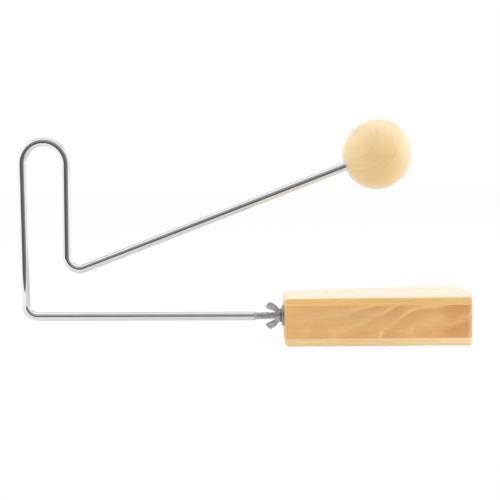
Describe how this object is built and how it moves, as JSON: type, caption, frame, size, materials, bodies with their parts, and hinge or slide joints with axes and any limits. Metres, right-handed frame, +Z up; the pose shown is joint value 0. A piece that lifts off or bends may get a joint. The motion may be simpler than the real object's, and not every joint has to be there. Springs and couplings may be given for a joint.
{
  "type": "vibraslap",
  "caption": "Vibraslap: a bent chrome rod joins a wooden ball to a flared wooden sound box with loose rivets inside; struck on the ball, it rattles. A wing nut locks the box.",
  "frame": {"origin": "centre of the sound box's underside", "axes": "+X along the box towards its open mouth, +Z up from the underside, the rod lies in the XZ plane with its loop at -X"},
  "size_m": [0.3593, 0.0596, 0.1767],
  "materials": {
    "box_wood": "satin lacquered pale hardwood",
    "ball_wood": "smooth turned cream hardwood, satin lacquer",
    "rod_chrome": "bright chrome plate",
    "nut_zinc": "dull zinc plate",
    "washer_steel": "dull grey zinc plate",
    "plate_steel": "bare rolled steel",
    "rivet_steel": "bright headed steel"
  },
  "bodies": {
    "rod": {"rod": "rod_chrome", "ball": "ball_wood"},
    "sound_box": {"top_board": "box_wood", "bottom_board": "box_wood", "front_board": "box_wood", "back_board": "box_wood", "end_block": "box_wood", "tee_nut": "nut_zinc", "rattle_plate": "plate_steel"},
    "washer": {"washer": "washer_steel", "lock_washer": "washer_steel"},
    "wing_nut": {"wing_nut": "nut_zinc"},
    "rivet_01": {"rivet_01": "rivet_steel"},
    "rivet_02": {"rivet_02": "rivet_steel"},
    "rivet_03": {"rivet_03": "rivet_steel"},
    "rivet_04": {"rivet_04": "rivet_steel"},
    "rivet_05": {"rivet_05": "rivet_steel"},
    "rivet_06": {"rivet_06": "rivet_steel"},
    "rivet_07": {"rivet_07": "rivet_steel"},
    "rivet_08": {"rivet_08": "rivet_steel"},
    "rivet_09": {"rivet_09": "rivet_steel"},
    "rivet_10": {"rivet_10": "rivet_steel"}
  },
  "joints": [
    {"name": "box_turn", "type": "hinge", "parent": "rod", "child": "sound_box", "pos_m": [-0.072, 0, 0.0214], "axis": [1, 0, 0], "range_deg": [-180, 180]},
    {"name": "washer_slide", "type": "slide", "parent": "rod", "child": "washer", "axis": [-1, 0, 0], "range_m": [0, 0.015]},
    {"name": "wing_nut_turn", "type": "hinge", "parent": "washer", "child": "wing_nut", "pos_m": [-0.0752, 0, 0.0214], "axis": [-1, 0, 0], "range_deg": [0, 5400]},
    {"name": "rivet_01_lift", "type": "slide", "parent": "sound_box", "child": "rivet_01", "axis": [0, 0, 1], "range_m": [0, 0.009]},
    {"name": "rivet_02_lift", "type": "slide", "parent": "sound_box", "child": "rivet_02", "axis": [0, 0, 1], "range_m": [0, 0.009]},
    {"name": "rivet_03_lift", "type": "slide", "parent": "sound_box", "child": "rivet_03", "axis": [0, 0, 1], "range_m": [0, 0.009]},
    {"name": "rivet_04_lift", "type": "slide", "parent": "sound_box", "child": "rivet_04", "axis": [0, 0, 1], "range_m": [0, 0.009]},
    {"name": "rivet_05_lift", "type": "slide", "parent": "sound_box", "child": "rivet_05", "axis": [0, 0, 1], "range_m": [0, 0.009]},
    {"name": "rivet_06_lift", "type": "slide", "parent": "sound_box", "child": "rivet_06", "axis": [0, 0, 1], "range_m": [0, 0.009]},
    {"name": "rivet_07_lift", "type": "slide", "parent": "sound_box", "child": "rivet_07", "axis": [0, 0, 1], "range_m": [0, 0.009]},
    {"name": "rivet_08_lift", "type": "slide", "parent": "sound_box", "child": "rivet_08", "axis": [0, 0, 1], "range_m": [0, 0.009]},
    {"name": "rivet_09_lift", "type": "slide", "parent": "sound_box", "child": "rivet_09", "axis": [0, 0, 1], "range_m": [0, 0.009]},
    {"name": "rivet_10_lift", "type": "slide", "parent": "sound_box", "child": "rivet_10", "axis": [0, 0, 1], "range_m": [0, 0.009]}
  ],
  "couplings": [
    {"joint": "washer_slide", "follows": "wing_nut_turn", "m_per_rad": 0.00015915}
  ]
}
